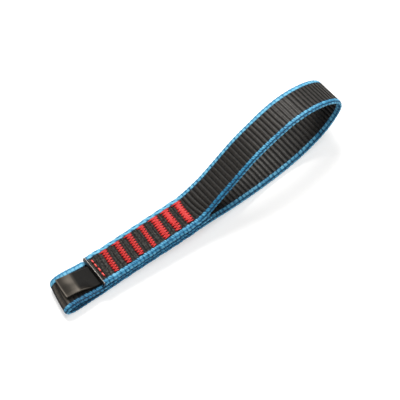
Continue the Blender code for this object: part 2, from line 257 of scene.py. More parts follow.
# ------------------------------------------------------------------- meshes
def mesh_object(name, verts, quads, tris=None, attrs=None, material=None):
    me = bpy.data.meshes.new(name)
    verts = np.asarray(verts, np.float32).reshape(-1, 3)
    quads = np.asarray(quads, np.int32).reshape(-1, 4)
    tris = (np.zeros((0, 3), np.int32) if tris is None
            else np.asarray(tris, np.int32).reshape(-1, 3))
    # faces point out
    a, b, c = (verts[quads[:, k]].astype(float) for k in (0, 1, 2))
    d = verts[quads[:, 3]].astype(float)
    vol = (np.einsum('ij,ij->i', a, np.cross(b, c))
           + np.einsum('ij,ij->i', a, np.cross(c, d))).sum()
    if len(tris):
        a, b, c = (verts[tris[:, k]].astype(float) for k in (0, 1, 2))
        vol += np.einsum('ij,ij->i', a, np.cross(b, c)).sum()
    if vol < 0:
        quads, tris = quads[:, ::-1], tris[:, ::-1]
    me.vertices.add(len(verts))
    me.vertices.foreach_set('co', verts.ravel())
    loops = np.concatenate([quads.ravel(), tris.ravel()]).astype(np.int32)
    me.loops.add(len(loops))
    me.loops.foreach_set('vertex_index', loops)
    starts = np.concatenate([np.arange(len(quads)) * 4,
                             4 * len(quads) + np.arange(len(tris)) * 3])
    me.polygons.add(len(starts))
    me.polygons.foreach_set('loop_start', starts.astype(np.int32))
    me.update(calc_edges=True)
    me.validate()
    for key, value in (attrs or {}).items():
        value = np.asarray(value, np.float32)
        if value.ndim == 1 or value.shape[-1] == 1:
            at = me.attributes.new(key, 'FLOAT', 'POINT')
            at.data.foreach_set('value', value.ravel())
        else:
            at = me.attributes.new(key, 'FLOAT_VECTOR', 'POINT')
            at.data.foreach_set('vector', value.ravel())
    me.shade_smooth()
    ob = bpy.data.objects.new(name, me)
    bpy.context.scene.collection.objects.link(ob)
    if material is not None:
        me.materials.append(material)
    return ob


def tube_faces(n, m, first=0):
    """Quads of a closed-round grid of n rings of m points."""
    i = np.arange(n - 1)[:, None]
    k = np.arange(m)[None, :]
    j = (k + 1) % m
    a, b = i * m + k, i * m + j
    return np.stack([a, b, b + m, a + m], -1).reshape(-1, 4) + first


def cap_faces(start, m, centre, flip):
    k = np.arange(m)
    j = (k + 1) % m
    c = np.full(m, centre)
    return np.stack([c, start + j, start + k] if flip
                    else [c, start + k, start + j], -1)


def closed_grid(name, grid, attrs, material):
    """Closed mesh from rings (n, m, 3), with a fan at each end."""
    n, m = grid.shape[:2]
    ends = np.stack([grid[0].mean(0), grid[-1].mean(0)])
    verts = np.concatenate([grid.reshape(-1, 3), ends])
    tris = np.concatenate([cap_faces(0, m, n * m, True),
                           cap_faces((n - 1) * m, m, n * m + 1, False)])
    full = {}
    for key, value in attrs.items():
        flat = value.reshape(n * m, -1)
        tail = np.stack([value[0].reshape(m, -1).mean(0),
                         value[-1].reshape(m, -1).mean(0)])
        full[key] = np.concatenate([flat, tail])
    return mesh_object(name, verts, tube_faces(n, m), tris, full, material)


def value_noise(x, y, seed, cell=1.0):
    """Smooth repeatable noise in -1..1 at points (x, y)."""
    rng = np.random.default_rng(seed)
    table = rng.uniform(-1, 1, (256, 256))
    x, y = np.asarray(x) / cell, np.asarray(y) / cell
    xi, yi = np.floor(x).astype(int), np.floor(y).astype(int)
    u, v = ease(x - xi), ease(y - yi)
    t = lambda i, j: table[i % 256, j % 256]
    return ((t(xi, yi) * (1 - u) + t(xi + 1, yi) * u) * (1 - v)
            + (t(xi, yi + 1) * (1 - u) + t(xi + 1, yi + 1) * u) * v)


# ---------------------------------------------------------------- materials
class Nodes:
    """Short way to build a material's node tree."""

    def __init__(self, name):
        self.mat = bpy.data.materials.new(name)
        self.mat.use_nodes = True
        self.tree = self.mat.node_tree
        self.bsdf = self.tree.nodes['Principled BSDF']

    def add(self, kind, **values):
        node = self.tree.nodes.new(kind)
        for key, value in values.items():
            setattr(node, key, value)
        return node

    def link(self, a, b):
        self.tree.links.new(a, b)

    def attribute(self, name, output):
        node = self.add('ShaderNodeAttribute', attribute_name=name)
        return node.outputs[output]

    def math(self, op, a, b=None, c=None, clamp=False):
        node = self.add('ShaderNodeMath', operation=op, use_clamp=clamp)
        for i, v in enumerate((a, b, c)):
            if v is None:
                continue
            if isinstance(v, (int, float)):
                node.inputs[i].default_value = v
            else:
                self.link(v, node.inputs[i])
        return node.outputs[0]

    def scaled(self, vector, scale):
        node = self.add('ShaderNodeVectorMath', operation='MULTIPLY')
        self.link(vector, node.inputs[0])
        node.inputs[1].default_value = scale
        return node.outputs[0]

    def noise(self, vector, scale, detail=2.0, rough=0.5):
        node = self.add('ShaderNodeTexNoise')
        self.link(vector, node.inputs['Vector'])
        node.inputs['Scale'].default_value = scale
        node.inputs['Detail'].default_value = detail
        node.inputs['Roughness'].default_value = rough
        return node.outputs['Fac']

    def ramp(self, fac, stops):
        node = self.add('ShaderNodeValToRGB')
        els = node.color_ramp.elements
        while len(els) < len(stops):
            els.new(0.5)
        for el, (pos, col) in zip(els, stops):
            el.position = pos
            el.color = (*col, 1.0)
        self.link(fac, node.inputs['Fac'])
        return node.outputs['Color']

    def mix(self, fac, a, b, blend='MIX'):
        node = self.add('ShaderNodeMix', data_type='RGBA', blend_type=blend)
        for sock, v in ((node.inputs[0], fac), (node.inputs[6], a),
                        (node.inputs[7], b)):
            if isinstance(v, (int, float)):
                sock.default_value = v
            elif isinstance(v, tuple):
                sock.default_value = (*v, 1.0)
            else:
                self.link(v, sock)
        return node.outputs[2]

    def remap(self, v, a, b, c, d):
        node = self.add('ShaderNodeMapRange')
        self.link(v, node.inputs['Value'])
        for key, value in (('From Min', a), ('From Max', b), ('To Min', c),
                           ('To Max', d)):
            node.inputs[key].default_value = value
        return node.outputs['Result']

    def bump(self, height, distance, strength=1.0, normal=None):
        node = self.add('ShaderNodeBump')
        node.inputs['Strength'].default_value = strength
        node.inputs['Distance'].default_value = distance
        self.link(height, node.inputs['Height'])
        if normal is not None:
            self.link(normal, node.inputs['Normal'])
        return node.outputs['Normal']


def webbing_material():
    m = Nodes('webbing_black_nylon')
    weave = m.attribute('weave', 'Vector')       # rib count, mm across, side
    rib = m.attribute('rib', 'Fac')
    sep = m.add('ShaderNodeSeparateXYZ')
    m.link(weave, sep.inputs[0])
    across = sep.outputs[1]
    # filaments, long along the yarn
    fil = m.noise(m.scaled(weave, (2.2, 11.0, 1.0)), 1.0, 3.0, 0.6)
    tone = m.noise(m.scaled(weave, (0.35, 0.22, 1.0)), 1.0, 3.0, 0.6)
    fleck = m.noise(m.scaled(weave, (1.1, 1.25, 1.0)), 1.0, 3.0, 0.65)
    sewn = m.attribute('sewn', 'Fac')
    # painted shade: the ramp makes the grooves between ribs near black and the
    # crests paler; rib carries it
    base = m.ramp(rib, [(0.0, (0.0008, 0.0007, 0.0006)),
                        (0.34, (0.0022, 0.0019, 0.0016)),
                        (0.69, (0.0054, 0.0044, 0.0032)),
                        (0.86, (0.0084, 0.0068, 0.0048)),
                        (1.0, (0.0228, 0.0190, 0.0145))])
    base = m.mix(m.remap(tone, 0.3, 0.7, 0.0, 0.45), base,
                 (0.62, 0.61, 0.60), 'MULTIPLY')
    base = m.mix(m.remap(fleck, 0.35, 0.50, 0.55, 0.0), base,
                 (0.45, 0.44, 0.43), 'MULTIPLY')
    base = m.mix(m.math('MULTIPLY', m.remap(fleck, 0.50, 0.66, 0.0, 0.85),
                        m.math('ADD', m.math('MULTIPLY', sewn, 0.65), 0.35)),
                 base, (0.040, 0.0348, 0.0282), 'MIX')
    # painted light: paler crests round the eye end
    base = m.mix(m.math('MULTIPLY', m.attribute('eye_end_painted_light', 'Fac'),
                        m.remap(rib, 0.45, 0.90, 0.12, 0.80)),
                 base, (0.078, 0.066, 0.052), 'MIX')
    edge = m.math('ABSOLUTE', m.math('SUBTRACT', m.math('ABSOLUTE', across),
                                     31.0))
    hem = m.math('MULTIPLY', m.remap(edge, 5.35, 5.85, 0.0, 0.9),
                 m.remap(rib, 0.35, 0.8, 1.0, 0.25))
    base = m.mix(hem, base, (0.003, 0.014, 0.032), 'MIX')
    m.link(base, m.bsdf.inputs['Base Color'])
    gloss = m.math('SUBTRACT', m.remap(fil, 0.2, 0.8, 0.78, 0.96),
                   m.math('MULTIPLY', rib, 0.47))
    gloss = m.math('ADD', gloss, m.math('MULTIPLY', m.remap(
        fleck, 0.38, 0.62, 0.26, 0.0), sewn))
    m.link(gloss, m.bsdf.inputs['Roughness'])
    m.bsdf.inputs['Specular IOR Level'].default_value = 0.33
    m.bsdf.inputs['Sheen Weight'].default_value = 0.03
    m.bsdf.inputs['Sheen Roughness'].default_value = 0.45
    m.bsdf.inputs['Sheen Tint'].default_value = (0.85, 0.80, 0.74, 1.0)
    n = m.bump(fil, 0.00004, 0.9)
    m.link(n, m.bsdf.inputs['Normal'])
    return m.mat


def selvedge_material():
    m = Nodes('selvedge_blue_nylon')
    weave = m.attribute('weave', 'Vector')
    bead = m.attribute('bead', 'Fac')
    slant = m.add('ShaderNodeMapping')
    m.link(weave, slant.inputs['Vector'])
    slant.inputs['Rotation'].default_value = (0.0, 0.0, 0.35)
    fil = m.noise(m.scaled(slant.outputs[0], (2.6, 9.0, 1.0)), 1.0, 3.0, 0.6)
    tone = m.noise(m.scaled(weave, (0.4, 0.5, 1.0)), 1.0, 3.0, 0.6)
    # painted shade: the ramp darkens the gaps between the floats and pales
    # their crests
    base = m.ramp(bead, [(0.0, (0.001, 0.008, 0.024)),
                         (0.38, (0.004, 0.038, 0.095)),
                         (0.68, (0.018, 0.165, 0.315)),
                         (1.0, (0.145, 0.420, 0.585))])
    base = m.mix(m.remap(tone, 0.3, 0.7, 0.0, 0.5), base,
                 (0.72, 0.82, 0.88), 'MULTIPLY')
    base = m.mix(m.remap(fil, 0.30, 0.47, 0.75, 0.0), base,
                 (0.36, 0.52, 0.64), 'MULTIPLY')
    base = m.mix(m.remap(fil, 0.54, 0.72, 0.0, 0.65), base,
                 (0.150, 0.42, 0.56), 'MIX')
    m.link(base, m.bsdf.inputs['Base Color'])
    m.link(m.remap(fil, 0.2, 0.8, 0.40, 0.58), m.bsdf.inputs['Roughness'])
    m.bsdf.inputs['Specular IOR Level'].default_value = 0.17
    m.bsdf.inputs['Sheen Weight'].default_value = 0.03
    m.bsdf.inputs['Sheen Roughness'].default_value = 0.4
    m.bsdf.inputs['Sheen Tint'].default_value = (0.25, 0.80, 1.0, 1.0)
    n = m.bump(fil, 0.00005, 0.9)
    m.link(n, m.bsdf.inputs['Normal'])
    return m.mat


def thread_material():
    m = Nodes('sewing_thread_red')
    ply = m.attribute('ply', 'Fac')              # crest of a ply to groove
    along = m.attribute('weave', 'Vector')
    fil = m.noise(m.scaled(along, (5.0, 3.0, 1.0)), 1.0, 3.0, 0.6)
    tone = m.noise(m.scaled(along, (0.25, 0.2, 1.0)), 1.0, 2.0, 0.5)
    # painted shade and highlight: the ramp darkens ply grooves and shaded
    # stitches; its top stop is a pink highlight
    base = m.ramp(ply, [(0.0, (0.020, 0.001, 0.002)),
                        (0.30, (0.120, 0.004, 0.006)),
                        (0.62, (0.440, 0.018, 0.018)),
                        (0.88, (0.630, 0.038, 0.035)),
                        (1.0, (0.720, 0.130, 0.110))])
    base = m.mix(m.remap(tone, 0.35, 0.65, 0.0, 0.35), base,
                 (0.80, 0.66, 0.66), 'MULTIPLY')
    base = m.mix(m.remap(fil, 0.55, 0.80, 0.0, 0.3), base,
                 (0.70, 0.10, 0.085), 'MIX')
    m.link(base, m.bsdf.inputs['Base Color'])
    m.link(m.remap(fil, 0.2, 0.8, 0.30, 0.50), m.bsdf.inputs['Roughness'])
    m.bsdf.inputs['Specular IOR Level'].default_value = 0.27
    m.bsdf.inputs['Sheen Weight'].default_value = 0.03
    m.bsdf.inputs['Sheen Roughness'].default_value = 0.35
    m.bsdf.inputs['Sheen Tint'].default_value = (1.0, 0.60, 0.56, 1.0)
    m.link(m.bump(fil, 0.00003, 0.8), m.bsdf.inputs['Normal'])
    return m.mat


def label_material():
    m = Nodes('label_satin')
    weave = m.attribute('weave', 'Vector')       # mm along, mm across
    lustre = m.attribute('lustre', 'Fac')        # painted sheen: where the satin catches more light
    rim = m.attribute('rim', 'Fac')              # painted highlight along the fold and the edges
    fine = m.noise(m.scaled(weave, (3.0, 22.0, 1.0)), 1.0, 2.0, 0.5)
    sep = m.add('ShaderNodeSeparateXYZ')
    m.link(weave, sep.inputs[0])
    pick = m.math('ABSOLUTE', m.math('SINE', m.math(
        'MULTIPLY', sep.outputs[0], math.pi / 0.24)))
    base = m.ramp(lustre, [(0.0, (0.0022, 0.0020, 0.0017)),
                           (0.5, (0.0340, 0.0300, 0.0250)),
                           (1.0, (0.1250, 0.1100, 0.0940))])
    base = m.mix(m.remap(fine, 0.5, 0.75, 0.0, 0.08), base,
                 (0.030, 0.0265, 0.0225), 'MIX')
    base = m.mix(rim, base, (0.170, 0.150, 0.128), 'MIX')
    m.link(base, m.bsdf.inputs['Base Color'])
    m.link(m.remap(fine, 0.3, 0.7, 0.44, 0.54), m.bsdf.inputs['Roughness'])
    m.bsdf.inputs['Specular IOR Level'].default_value = 0.05
    n = m.bump(fine, 0.000012, 0.7)
    n = m.bump(pick, 0.000010, 0.5, n)
    m.link(n, m.bsdf.inputs['Normal'])
    return m.mat


def melt_material():
    m = Nodes('melted_cut_end')
    rim = m.attribute('rim', 'Fac')
    weave = m.attribute('weave', 'Vector')
    drop = m.noise(m.scaled(weave, (1.0, 1.6, 1.6)), 1.0, 3.0, 0.6)
    # painted highlight: rim gives the top of the melted lip a pale line
    base = m.ramp(rim, [(0.0, (0.012, 0.011, 0.011)),
                        (0.55, (0.030, 0.027, 0.025)),
                        (0.85, (0.300, 0.280, 0.250)),
                        (1.0, (0.420, 0.400, 0.365))])
    base = m.mix(m.remap(drop, 0.45, 0.7, 0.0, 0.5), base,
                 (0.45, 0.42, 0.40), 'MULTIPLY')
    m.link(base, m.bsdf.inputs['Base Color'])
    m.link(m.remap(drop, 0.3, 0.7, 0.22, 0.42), m.bsdf.inputs['Roughness'])
    m.bsdf.inputs['Specular IOR Level'].default_value = 0.55
    m.link(m.bump(drop, 0.00012, 0.8), m.bsdf.inputs['Normal'])
    return m.mat


def floor_material():
    m = Nodes('pale_floor')
    co = m.add('ShaderNodeTexCoord').outputs['Object']
    grain = m.noise(co, 3.0, 2.0, 0.5)
    m.link(m.ramp(grain, [(0.3, (0.560, 0.560, 0.560)),
                          (0.7, (0.580, 0.580, 0.580))]),
           m.bsdf.inputs['Base Color'])
    # a light table: it glows a little, so that the shadow stays faint
    m.bsdf.inputs['Emission Color'].default_value = (1.0, 1.0, 1.0, 1.0)
    m.bsdf.inputs['Emission Strength'].default_value = 0.50
    m.bsdf.inputs['Roughness'].default_value = 0.9
    m.bsdf.inputs['Specular IOR Level'].default_value = 0.2
    return m.mat


# ------------------------------------------------------------------ webbing
IN_RIB = np.array([0.0, 0.12, 0.24, 0.34, 0.42, 0.47, 0.5, 0.53, 0.58, 0.66,
                   0.76, 0.88])
YARN = 0.62             # pitch of the warp yarns that cross the ribs


def strip_stations():
    """Arc lengths with the same places in every rib, end A to end B."""
    g = np.arange(0.0, LENGTH + 0.01, 0.05)
    count = rib_phase(g)
    k = np.arange(math.floor(count[0]), math.ceil(count[-1]) + 1)
    k = (k[:, None] + IN_RIB[None, :]).ravel()
    k = k[(k > count[0]) & (k < count[-1])]
    s = np.interp(k, count, g)
    s = s[(s > 0.08) & (s < LENGTH - 0.08)]
    return np.concatenate([[0.0], s, [LENGTH]])


def end_shift(s, o):
    """Slope of the upper cut end: its foot reaches further out."""
    return -END_A_SLANT * (0.5 - o / THICK) * np.clip(1.0 - s / 0.9, 0, 1)


def skew_end(s, y):
    """The upper end isn't cut square: its near corner is shorter."""
    return (0.075 * (6.5 - y)) * np.clip(1.0 - s / 2.6, 0, 1)


def is_top(s):
    return s < S_FORK + 3.0


def make_ground(mat):
    s = strip_stations()
    cols = YARN / 4 * np.arange(-39, 40)
    m = len(cols)
    y = np.concatenate([cols, [6.1, 6.1], cols[::-1], [-6.1, -6.1]])
    o = np.concatenate([np.full(m, HALF), [0.4, -0.4], np.full(m, -HALF),
                        [-0.4, 0.4]])
    face = np.concatenate([np.full(m, 1.0), [0, 0], np.full(m, -1.0), [0, 0]])
    S, Y = np.meshgrid(s, y, indexing='ij')
    O, F = np.broadcast_to(o, S.shape), np.broadcast_to(face, S.shape)
    # ribs: every crest is a flat round, the groove between two is narrow, and
    # a crest is two picks wide, so it has a faint dent along its middle
    wander = 0.035 * value_noise(S, Y, 3, 5.0) + 0.02 * value_noise(S, Y, 4,
                                                                    1.6)
    ph = rib_phase(S) + wander
    near = np.abs(ph - np.round(ph))
    # on the outside of a bend the grooves open and the crests look narrow
    ang = np.unwrap(np.arctan2(np.gradient(_fine[:, 1]),
                               np.gradient(_fine[:, 0])))
    curve = np.interp(S, _run, np.abs(np.gradient(ang)
                                      / np.gradient(_run)))
    wide = np.clip(curve * 2.4, 0.0, 0.9) * (F > 0)
    q = np.clip(2.0 * near, 0.0, 1.0) ** (1.0 / (1.0 + 1.3 * wide))
    rib = (1.0 - q ** 2.5) ** 0.8
    dent = np.exp(-(near / 0.10) ** 2)
    # warp yarns side by side, each a bit different
    nth = np.floor(Y / YARN)
    yarn = np.abs(np.sin(math.pi * Y / YARN)) ** 0.8
    own = value_noise(nth * 3.7, np.round(ph) * 2.3, 6, 1.0)
    x1 = np.interp(S, _run, _fine[:, 0])
    flat = ((is_top(S) | (S > S_LOW)) * ease((x1 + 10.0) / 3.0)
            * (1.0 - ease((x1 - 36.0) / 3.0)))
    bulge = 1.0 + 0.60 * np.exp(-((S - S_TIP) / 13.0) ** 2)
    # over the summit the ribs lie flatter and their two picks show
    calm = ease((S - 98.0) / 6.0) * (1.0 - ease((S - 107.5) / 4.0))
    top = (0.38 - 0.16 * flat) * bulge * (1.0 - 0.30 * calm)
    height = top * rib - (0.035 + 0.05 * flat + 0.08 * calm) * dent
    height -= 0.055 * (1.0 - yarn)
    height += 0.022 * own + 0.02 * flat * value_noise(S, Y, 5, 0.9)
    depth = top - height
    # past the last bar tack the near ends of the ribs are drawn forward
    drawn = (0.45 * ease((S - 6.0) / 6.0) + 1.15 * ease((S - 38.0) / 8.0)) * (
        1.0 - ease((S - 46.5) / 11.0)) * is_top(S - 12.0)
    S2 = S + drawn * (np.clip(5.8 - Y, 0.0, None) / 11.6) ** 1.9
    x, z, tw, nx, nz = line_at(S2)
    # dents at the end row's needle holes, on top and underneath
    px = x + 0 * Y
    hole = np.zeros(S.shape)
    row_x = ROW_X + 0.095 * (0.7 - Y)
    for hy in ROW_SEWN:
        hole = np.maximum(hole, np.exp(-((px - row_x) ** 2
                                         + (Y - hy) ** 2) / 0.16))
    row = 0.15 * np.exp(-((px - row_x) / 0.75) ** 2) * (np.abs(Y) < 5.9)
    outer = ((F > 0) & (is_top(S) | ((S > S_LOW) & (z < 2.0))))
    depth = depth + np.where(outer & (px < 0), 0.35 * hole + 0.35 * row, 0.0)
    O2 = O - F * depth
    # a yarn's width of the side
    X = x + O2 * nx + end_shift(S, O2) * is_top(S)
    Z = z + O2 * nz
    Z = pinch(X, Y, Z)
    X = X + skew_end(S, Y)
    grid = lay(X, Y, Z, tw)
    # the light grazes the lower strand, which shows a narrow line on each rib
    low = ease((S - S_TIP - 4.0) / 8.0) * (1.0 - ease((S - S_LOW) / 6.0))
    shade = 1.0 - 0.85 * (1.0 - 0.60 * calm) * ease((q - 0.42 + 0.17 * low)
                                                    / 0.50)
    # painted shade under the label, and where the lower strand comes back to
    # the stitches
    shade = shade * (1.0 - 0.85 * (S > S_EYE) * (x1 < -8.5) * ease(
        (x1 + 24.6) / 1.6))
    shade = shade * (1.0 - 0.15 * ease((S - 176.0) / 8.0) * (S < S_EYE))
    # painted shade on one flank of each rib from past the summit to the tip
    signed = ph - np.round(ph)
    shade = shade - 0.90 * ease((-signed - 0.12) / 0.16) * ease(
        (S - 107.5) / 4.0) * (1.0 - ease((S - 128.0) / 4.0))
    # in the stitched section the painted groove shade is weaker and the ribs
    # lighter
    shade = shade * (1.0 - 0.50 * flat) + 0.44 * flat
    # the rising strand's last ribs face the light
    lit = 0.86 + 0.14 * ease((S - 80.0) / 10.0) * (1.0 - ease((S - 113.0)
                                                              / 7.0))
    # painted light: round the eye end the crests are painted paler, where
    # little light reaches them
    eye_end_painted_light = ease((-23.2 - x1) / 1.6)
    lit = np.maximum(lit, np.maximum(eye_end_painted_light, 0.95 * low))
    # the rib attribute is painted shade: darker in the grooves, along each
    # crest's dent and between the yarns
    attrs = {'sewn': flat + 0 * S, 'eye_end_painted_light': eye_end_painted_light * (F > 0),
             'rib': np.clip(shade - (0.12 + 0.16 * flat + 0.34 * calm) * dent
                            + 0.10 * own - 0.30 * (1.0 - yarn), 0, 1) * lit,
             'weave': np.stack([rib_phase(S) * 2.0, Y + F * 31.0,
                                F + 0 * S], -1)}
    ob = closed_grid('webbing_ground_woven', grid, attrs, mat)
    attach(ob, 'sling')
    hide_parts('webbing_ground')
    return ob


def round_outline():
    """Half outline of a selvedge: (y from the strap's middle, offset), from
    the inner upper corner round the outside to the inner lower corner."""
    pts = [(5.62, 0.50), (5.70, 0.74), (5.86, 0.90)]
    pts += [(6.05 + 0.27 * k, 0.955 - 0.012 * k * k * 0.27) for k in range(4)]
    for a in np.linspace(84, 0, 9)[1:]:
        pts.append((6.90 + 1.06 * math.cos(math.radians(a)),
                    0.93 * math.sin(math.radians(a)) + 0.01))
    pts[-1] = (7.97, 0.0)
    low = [(p, -q) for p, q in reversed(pts[:-1])]
    return np.array(pts + low)


def bead_field(ph, w, middle, long_floats, gap, strokes, flank, broad, split,
               uneven, twin, own):
    """Height 0..1 of the selvedge's yarn floats at rib count ph and distance
    w (mm) round the outline, whose middle of the side is at `middle`; where
    long_floats is 1 a float of the face covers two ribs. The floats of the
    side are `broad` wide and `flank` high, with gaps of depth `split`, and
    stand in line with those of the face where strokes is 1; own makes each
    float a bit different, by `uneven`. A short float is two yarns, with a
    slanted line of depth `twin` between them."""
    def row(cw, bw, al, p0, period, lean, top, gap=0.55, line=0.0):
        """One row of floats; between two of them it falls by gap."""
        t = (ph - p0 - lean * (w - cw)) / period
        f = np.abs(t - np.round(t)) * period / al
        along = 1.0 - gap * np.clip(f, 0, 1) ** 4.5
        off = (t - np.round(t)) * period / al - 0.55 * (w - cw)
        along = along * (1.0 - line * np.exp(-(off / 0.24) ** 2))
        side = np.clip(1.0 - (np.abs(w - cw) / bw) ** 2.6, 0, 1) ** 0.5
        return top * along * side

    best = np.zeros(np.broadcast(ph, w).shape)
    for side in (0, 1):
        c = (lambda v: v) if side == 0 else (lambda v: 2 * middle - v)
        sh = 0.0 if side == 0 else 0.5
        lean = 1.0 if side == 0 else -1.0
        big = 0.92 + uneven * value_noise(np.round(ph - sh) * 3.1, own, 15)
        cut = gap * (1.0 + 0.55 * value_noise(np.floor(ph - sh) * 2.7, own,
                                              16))
        short = row(c(1.10), 1.08, 0.50, sh, 1.0, 0.07 * lean, 1.0,
                    cut, twin * (1.0 + 0.8 * value_noise(
                        np.round(ph - sh) * 1.9, own, 17))) * big
        slant = np.maximum(
            row(c(0.95), 0.86, 0.95, sh, 2.0, -0.62 * lean, 1.0, 0.55),
            row(c(1.75), 0.76, 0.85, 0.9 + sh, 2.0, -0.62 * lean, 0.95, 0.5))
        best = np.maximum(best, short + (slant - short) * long_floats)
    return np.maximum(best, row(middle, broad, 0.50, 0.5 * (1.0 - strokes),
                                1.0, 0.10, flank, split))


def make_selvedge(name, side, mat, cad):
    s = np.arange(0.0, LENGTH + 0.001, LENGTH / 1650)
    half = round_outline()
    d = np.gradient(half, axis=0)
    n = np.stack([-d[:, 1], d[:, 0]], 1)
    n = n / np.linalg.norm(n, axis=1)[:, None]
    w = np.concatenate([[0.0], np.cumsum(np.linalg.norm(np.diff(half, axis=0),
                                                        axis=1))])
    middle = w[len(w) // 2]
    S, W = np.meshgrid(s, w, indexing='ij')
    ph = rib_phase(S) + (0.0 if side < 0 else 0.37)
    ph = ph + (0.16 if side < 0 else 0.10) * value_noise(
        S, W, 11 + int(side), 2.3)
    x1 = np.interp(S, _run, _fine[:, 0])
    sewn = ease((x1 + 8.5) / 2.0) * (1.0 - ease((x1 - 36.0) / 4.0))
    # the floats of the lower strand are plainer blocks
    plain = ease((x1 - 38.0) / 6.0) * ease((S - S_TIP) / 4.0)
    h = bead_field(ph, W, middle, sewn * (side > 0) * is_top(S),
                   0.52 + 0.14 * plain if side < 0 else 0.32 + 0.30 * (
                       1.0 - sewn) * (1.0 - ease((S - 84.0) / 10.0)),
                   sewn * (side < 0),
                   0.92 - 0.18 * sewn * (S > S_TIP) if side < 0 else 0.95,
                   0.84 + 0.30 * sewn if side < 0 else 1.20,
                   0.65 if side < 0 else 0.65 - 0.30 * sewn,
                   0.17 if side < 0 else 0.10,
                   0.34 - 0.28 * plain if side < 0 else 0.0, 7.3 + side)
    lumpy = 0.14 if side < 0 else 0.07
    h = np.clip(h + lumpy * value_noise(S, W, 12 + int(side), 0.75), 0, 1.05)
    push = -0.36 + 0.40 * h
    # the stitches draw the edge in a little at every bar tack
    x, z, tw, nx, nz = [v[:, None] for v in line_at(s)]
    X0 = x + 0 * W
    sewn = ease((X0 + 4.0) / 3.0) * (1.0 - ease((X0 - 37.0) / 3.0))
    sewn = sewn * (is_top(S) | (S > S_LOW)) * ((z < STACK + 1) & (z > -1))
    wob = 0.0 * X0
    for bx in BAR_X:
        wob = np.maximum(wob, np.exp(-((X0 - bx) / 1.6) ** 2))
    # the yarns lie loose: a little wider than the plain strip
    outer = np.clip((half[None, :, 0] - 6.05) / 1.9, 0.0, 1.0)
    loose = (0.26 + 0.20 * np.exp(-((X0 - 27.0) / 10.0) ** 2) * (
        S > S_LOW)) if side < 0 else 0.30 * ease((S - 88.0) / 10.0) * (
            1.0 - ease((S - 140.0) / 10.0)) + 0.60 * ease(
                (-9.5 - X0) / 2.5) * (S > S_TIP)
    Y = side * (half[None, :, 0] + n[None, :, 0] * push + loose * outer
                - 0.16 * wob * sewn * (half[None, :, 0] > 6.2))
    O = half[None, :, 1] + n[None, :, 1] * push
    # in the fork the upper strand's edge clears the layer below it
    clear = ease((S - 42.5) / 3.5) * (1.0 - ease((S - 56.0) / 6.0))
    O = O * (1.0 - 0.50 * clear * (O < 0) * (side < 0))
    # between two floats the inner edge stands back from the ribs
    inner = np.clip(1.0 - np.minimum(W, w[-1] - W) / 0.8, 0.0, 1.0)
    notch = np.clip(2.0 * np.abs(rib_phase(S) - np.round(rib_phase(S))), 0, 1)
    Y = Y + side * 0.42 * inner * ease((notch - 0.35) / 0.55)
    X = x + O * nx + end_shift(S, O) * is_top(S)
    Z = z + O * nz
    Z = pinch(X, Y, Z)
    X = X + skew_end(S, Y)
    grid = lay(X, Y, Z, tw + 0 * W)
    # painted shade: the near edge by the label is darker, where the label and
    # the upper layer shade it
    tone = np.ones(S.shape)
    if side < 0:
        tone = tone - 0.26 * ease((-9.0 - X0) / 2.0) * ease((X0 + 26.0) / 2.0)
        # and painted shade on the upper strand's near edge just past the fork
        tone = tone - 0.24 * ease((S - 50.0) / 5.0) * (1.0 - ease((S - 66.0)
                                                                / 16.0))
    attrs = {'bead': np.clip(h * tone, 0, 1),
             'weave': np.stack([rib_phase(S) * 2.0, W + 40.0 * side,
                                0.0 * S], -1)}
    ob = closed_grid(name, grid, attrs, mat)
    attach(ob, 'sling')
    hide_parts(cad)
    return ob


# ------------------------------------------------------------------- threads
def tube_grid(path, radius, sides=8, ply=0.16, pitch=0.95, squash=1.0,
              up=(0.0, 0.0, 1.0), phase=0.0):
    """Rings (strap-plane mm) of a two-ply thread along a path, and the
    height of the plies."""
    p = np.asarray(path, float)
    t = np.gradient(p, axis=0)
    t /= np.linalg.norm(t, axis=1)[:, None]
    side = np.cross(t, np.array(up))
    side /= np.maximum(np.linalg.norm(side, axis=1), 1e-6)[:, None]
    nrm = np.cross(side, t)
    run = np.concatenate([[0.0], np.cumsum(np.linalg.norm(np.diff(p, axis=0),
                                                          axis=1))])
    a = 2 * math.pi * np.arange(sides) / sides
    wave = np.cos(2 * (a[None, :] - math.pi * run[:, None] / pitch) + phase)
    r = np.broadcast_to(radius, run.shape)[:, None] * (1.0 + ply * wave)
    ring = (p[:, None, :]
            + r[..., None] * (np.cos(a)[None, :, None] * side[:, None, :]
                              + squash * np.sin(a)[None, :, None]
                              * nrm[:, None, :]))
    return ring, 0.5 + 0.5 * wave, run


